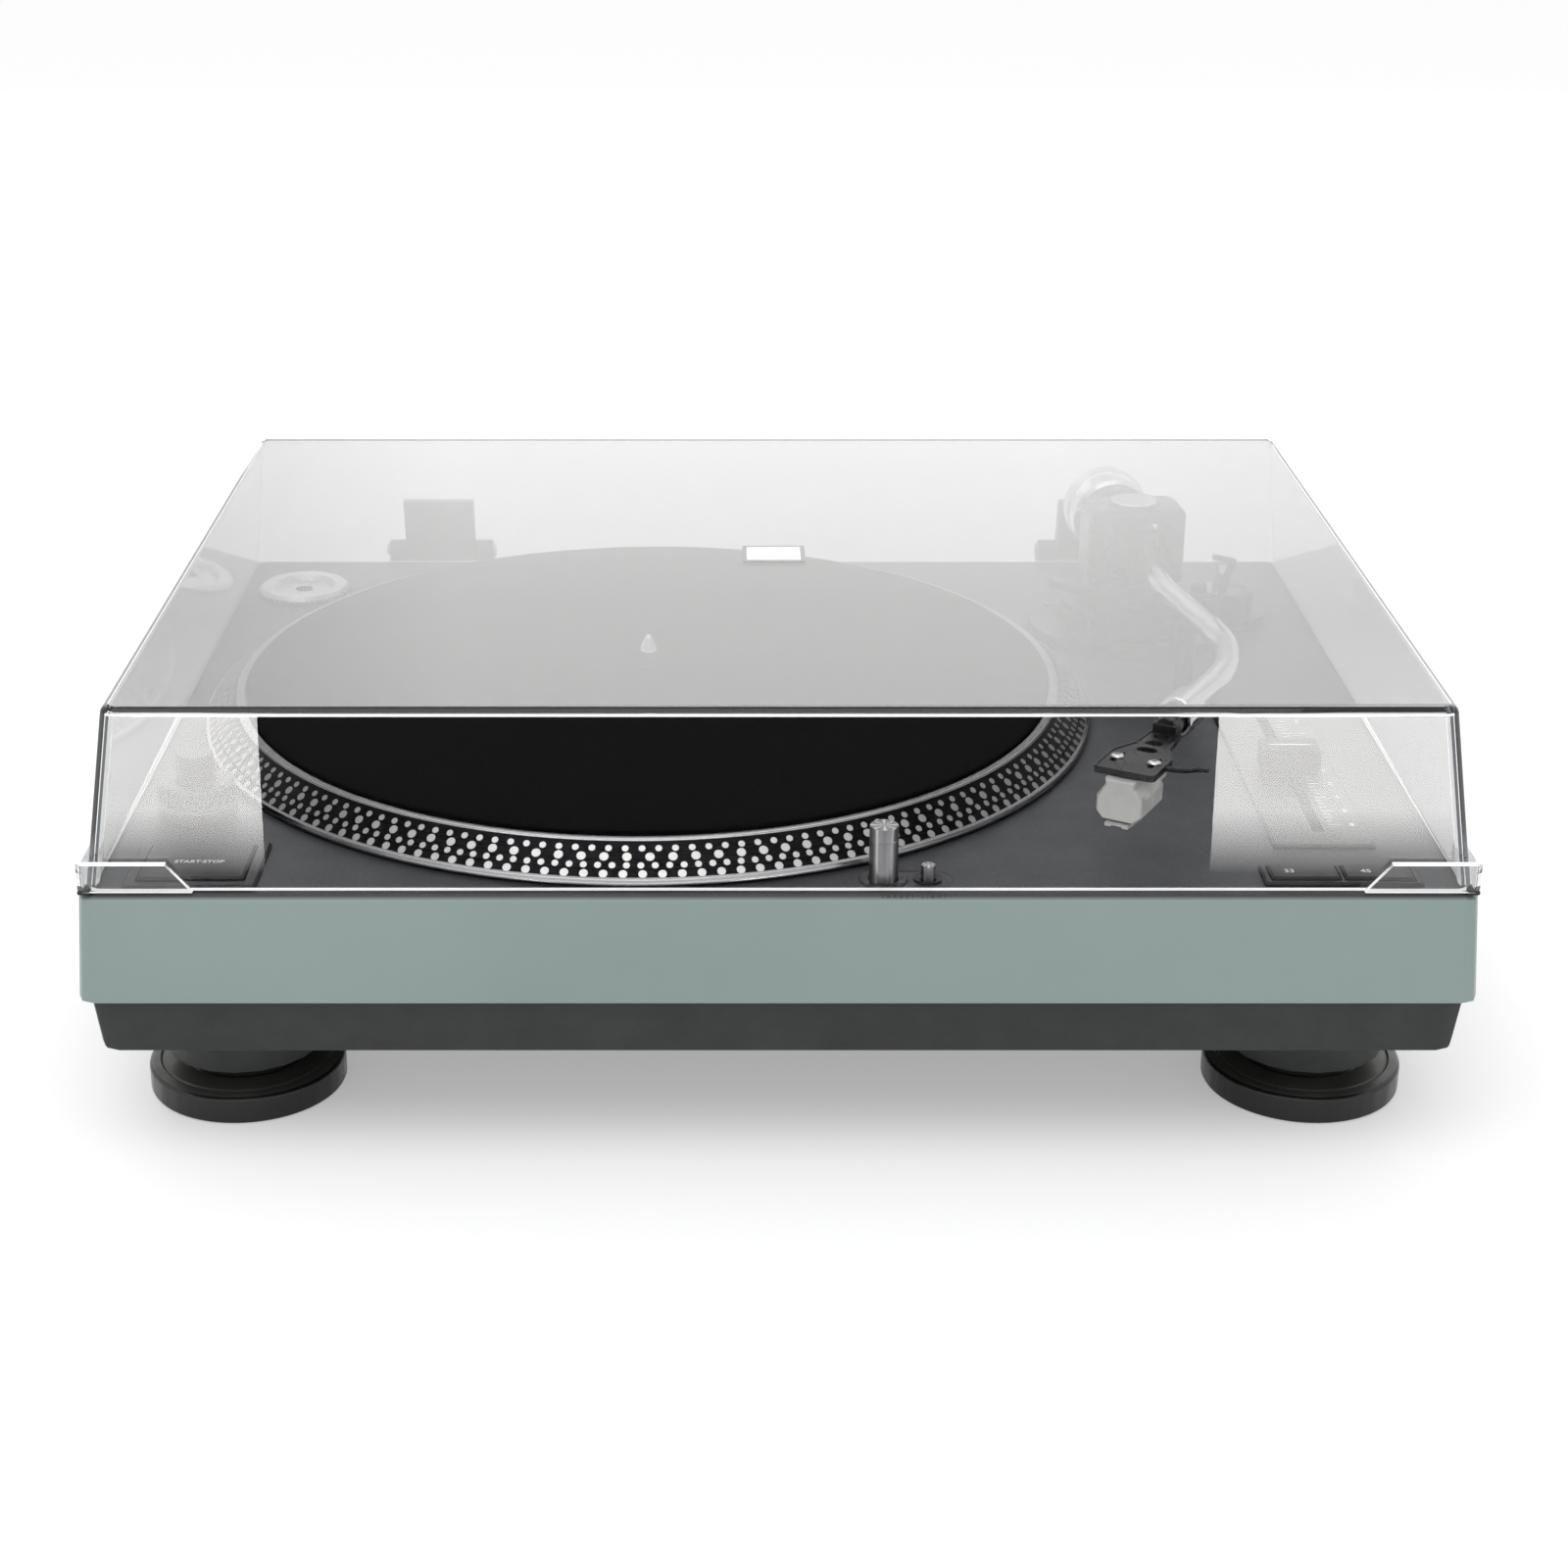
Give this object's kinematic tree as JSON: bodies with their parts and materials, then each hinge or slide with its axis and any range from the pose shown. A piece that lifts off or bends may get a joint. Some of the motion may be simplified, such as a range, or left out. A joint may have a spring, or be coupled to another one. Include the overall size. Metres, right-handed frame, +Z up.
{
  "type": "record player",
  "caption": "Direct-drive record player with an S-shaped tonearm, pitch slider, pop-up stylus light, levelling feet and a hinged clear dust cover.",
  "frame": {"origin": "on the table under the middle of the overall box", "axes": "+X to the right, +Y to the rear, +Z up"},
  "size_m": [0.4548, 0.3568, 0.157],
  "materials": {
    "plinth_paint": "satin grey paint",
    "pan_black": "moulded, fine grain",
    "black_plastic": "satin",
    "foot_rubber": "satin rubber",
    "seal_rubber": "matte",
    "clear_cover": "clear, polished",
    "platter_metal": "turned",
    "slipmat_felt": "felt",
    "steel": "polished",
    "bright_metal": "satin anodised",
    "brushed_metal": "turned and brushed",
    "magnet": "dark grey",
    "board": "lacquered",
    "ivory": "translucent pale grey",
    "lens_red": "clear red",
    "brass": "plain"
  },
  "bodies": {
    "case": {"plinth_top": "plinth_paint", "base_pan": "pan_black", "hinge_base_left": "black_plastic", "hinge_base_right": "black_plastic", "hinge_pin_left": "steel", "hinge_pin_right": "steel", "bearing_housing": "brass", "stator_board": "board", "start_stop_frame": "black_plastic", "speed_frame": "black_plastic", "pitch_plate": "black_plastic", "pitch_fader": "magnet", "strobe_tower": "black_plastic", "strobe_lens": "lens_red", "stylus_light_sleeve": "brushed_metal", "stylus_light_dish": "black_plastic", "tonearm_base": "black_plastic", "arm_rest": "black_plastic", "socket_panel": "black_plastic", "mains_inlet": "black_plastic", "main_board": "board", "transformer": "magnet"},
    "cover": {"dust_cover": "clear_cover", "cover_bumper_left": "seal_rubber", "cover_bumper_right": "seal_rubber", "hinge_leaf_left": "black_plastic", "hinge_leaf_right": "black_plastic"},
    "turntable": {"platter": "platter_metal", "slipmat": "slipmat_felt", "spindle": "steel", "rotor_magnet": "magnet"},
    "height_ring": {"height_ring": "black_plastic"},
    "column": {"tonearm_column": "brushed_metal", "lift_housing": "black_plastic"},
    "yoke": {"tonearm_yoke": "black_plastic"},
    "arm": {"arm_gimbal": "black_plastic", "arm_tube": "bright_metal", "headshell": "black_plastic", "cartridge": "ivory", "stylus": "ivory"},
    "head_collar": {"headshell_collar": "bright_metal"},
    "weight": {"counterweight": "bright_metal"},
    "weight_dial": {"counterweight_dial": "black_plastic"},
    "lift_platform": {"lift_platform": "black_plastic"},
    "lift_lever": {"lift_lever": "steel"},
    "anti_skate": {"anti_skate_dial": "black_plastic"},
    "clip": {"arm_clip": "black_plastic"},
    "power": {"power_knob": "black_plastic"},
    "start_stop": {"start_stop_button": "black_plastic"},
    "speed_33": {"speed_33_button": "black_plastic"},
    "speed_45": {"speed_45_button": "black_plastic"},
    "pitch": {"pitch_knob": "black_plastic"},
    "light": {"stylus_light": "brushed_metal"},
    "light_catch": {"stylus_light_catch": "brushed_metal"},
    "adapter": {"single_adapter": "brushed_metal"},
    "earth": {"earth_terminal": "brass"},
    "foot_front_left": {"foot_front_left": "foot_rubber"},
    "foot_front_right": {"foot_front_right": "foot_rubber"},
    "foot_rear_left": {"foot_rear_left": "foot_rubber"},
    "foot_rear_right": {"foot_rear_right": "foot_rubber"}
  },
  "joints": [
    {"name": "cover_hinge", "type": "hinge", "parent": "case", "child": "cover", "pos_m": [0, 0.1695, 0.1007], "axis": [-1, 0, 0], "range_deg": [0, 60]},
    {"name": "platter_spin", "type": "hinge", "parent": "case", "child": "turntable", "pos_m": [-0.046, -0.0046, 0.1], "axis": [0, 0, -1], "continuous": true},
    {"name": "height_ring_turn", "type": "hinge", "parent": "case", "child": "height_ring", "pos_m": [0.1455, 0.0785, 0.105], "axis": [0, 0, 1], "range_deg": [0, 270]},
    {"name": "column_height", "type": "slide", "parent": "case", "child": "column", "axis": [0, 0, 1], "range_m": [0, 0.003]},
    {"name": "tonearm_yaw", "type": "hinge", "parent": "column", "child": "yoke", "pos_m": [0.1455, 0.0785, 0.1315], "axis": [0, 0, -1], "range_deg": [0, 45]},
    {"name": "tonearm_pitch", "type": "hinge", "parent": "yoke", "child": "arm", "pos_m": [0.1455, 0.0785, 0.1315], "axis": [-0.9966, -0.083, 0], "range_deg": [0, 3.5]},
    {"name": "counterweight_slide", "type": "slide", "parent": "arm", "child": "weight", "axis": [-0.083, 0.9966, 0], "range_m": [-0.008, 0.006]},
    {"name": "weight_dial_turn", "type": "hinge", "parent": "weight", "child": "weight_dial", "pos_m": [0.1455, 0.0785, 0.1315], "axis": [-0.083, 0.9966, 0], "continuous": true},
    {"name": "headshell_collar_turn", "type": "hinge", "parent": "arm", "child": "head_collar", "pos_m": [0.13379, -0.11209, 0.1315], "axis": [0.4854, 0.8743, 0], "range_deg": [0, 45]},
    {"name": "lift_lever_turn", "type": "hinge", "parent": "column", "child": "lift_lever", "pos_m": [0.17466, 0.05572, 0.1186], "axis": [1, 0, 0], "range_deg": [0, 50]},
    {"name": "lift_platform_drop", "type": "slide", "parent": "column", "child": "lift_platform", "axis": [0, 0, -1], "range_m": [0, 0.006]},
    {"name": "anti_skate_turn", "type": "hinge", "parent": "case", "child": "anti_skate", "pos_m": [0.1885, 0.088, 0.1], "axis": [0, 0, 1], "range_deg": [0, 300]},
    {"name": "arm_clip_turn", "type": "hinge", "parent": "case", "child": "clip", "pos_m": [0.16485, -0.00052, 0.1347], "axis": [0.2558, -0.9667, 0], "range_deg": [0, 105]},
    {"name": "power_knob_turn", "type": "hinge", "parent": "case", "child": "power", "pos_m": [-0.197, -0.11, 0.1], "axis": [0, 0, -1], "range_deg": [0, 60]},
    {"name": "start_stop_press", "type": "slide", "parent": "case", "child": "start_stop", "axis": [0, 0, -1], "range_m": [0, 0.0015], "stiffness_N_per_m": 700, "springref_m": -0.002},
    {"name": "speed_33_press", "type": "slide", "parent": "case", "child": "speed_33", "axis": [0, 0, -1], "range_m": [0, 0.0012], "stiffness_N_per_m": 700, "springref_m": -0.002},
    {"name": "speed_45_press", "type": "slide", "parent": "case", "child": "speed_45", "axis": [0, 0, -1], "range_m": [0, 0.0012], "stiffness_N_per_m": 700, "springref_m": -0.002},
    {"name": "pitch_slide", "type": "slide", "parent": "case", "child": "pitch", "axis": [0, 1, 0], "range_m": [-0.05, 0.05]},
    {"name": "stylus_light_drop", "type": "slide", "parent": "case", "child": "light", "axis": [0, 0, -1], "range_m": [0, 0.0175]},
    {"name": "light_catch_press", "type": "slide", "parent": "case", "child": "light_catch", "axis": [0, 0, -1], "range_m": [0, 0.003], "stiffness_N_per_m": 300, "springref_m": -0.002},
    {"name": "adapter_lift", "type": "slide", "parent": "case", "child": "adapter", "axis": [0, 0, 1], "range_m": [0, 0.03]},
    {"name": "earth_terminal_turn", "type": "hinge", "parent": "case", "child": "earth", "pos_m": [-0.102, 0.1665, 0.076], "axis": [0, 1, 0], "continuous": true},
    {"name": "foot_front_left_level", "type": "slide", "parent": "case", "child": "foot_front_left", "axis": [0, 0, -1], "range_m": [0, 0.005]},
    {"name": "foot_front_right_level", "type": "slide", "parent": "case", "child": "foot_front_right", "axis": [0, 0, -1], "range_m": [0, 0.005]},
    {"name": "foot_rear_left_level", "type": "slide", "parent": "case", "child": "foot_rear_left", "axis": [0, 0, -1], "range_m": [0, 0.005]},
    {"name": "foot_rear_right_level", "type": "slide", "parent": "case", "child": "foot_rear_right", "axis": [0, 0, -1], "range_m": [0, 0.005]}
  ],
  "couplings": [
    {"joint": "height_ring_turn", "follows": "column_height", "rad_per_m": 1570.8},
    {"joint": "lift_lever_turn", "follows": "lift_platform_drop", "rad_per_m": 145.44}
  ]
}
